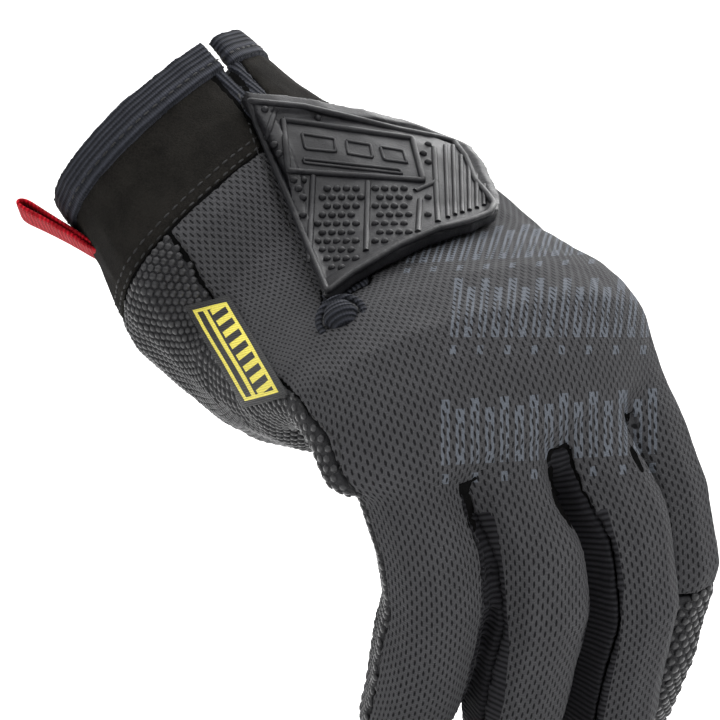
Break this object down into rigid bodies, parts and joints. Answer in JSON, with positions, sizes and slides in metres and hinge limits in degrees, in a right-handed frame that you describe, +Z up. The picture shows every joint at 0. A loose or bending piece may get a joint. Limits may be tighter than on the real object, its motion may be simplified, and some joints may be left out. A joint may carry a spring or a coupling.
{
  "type": "mechanic glove",
  "caption": "Right-hand work glove with a knit back, grip palm, wrist slit under a moulded strap, and a pull loop; fingers hang down.",
  "frame": {"origin": "centre of the rim of the cuff, where a wrist goes in", "axes": "+Z up, with the fingers hanging down; -Y is the side that the back of the hand faces; the arm comes in from -X, +Y and +Z"},
  "size_m": [0.1418, 0.1178, 0.1621],
  "materials": {
    "knit": "matte, perforated knit",
    "grip": "satin, with raised pads",
    "side_knit": "matte, ribbed",
    "suede": "matte suede",
    "tape": "matte, ribbed",
    "moulded_rubber": "satin",
    "woven_label": "woven",
    "webbing": "woven webbing"
  },
  "bodies": {
    "root": {"back_panel": "knit", "palm_panel": "grip", "index_tip_guard": "grip", "thumb_front": "grip", "thumb_back": "knit", "fourchette_little_ring": "side_knit", "fourchette_ring_middle": "side_knit", "fourchette_middle_index": "side_knit", "cuff_band": "suede", "cuff_binding": "tape", "slit_binding": "tape", "slit_end_tab": "tape", "closure_strap": "moulded_rubber", "side_label": "woven_label", "pull_loop": "webbing"}
  },
  "joints": []
}
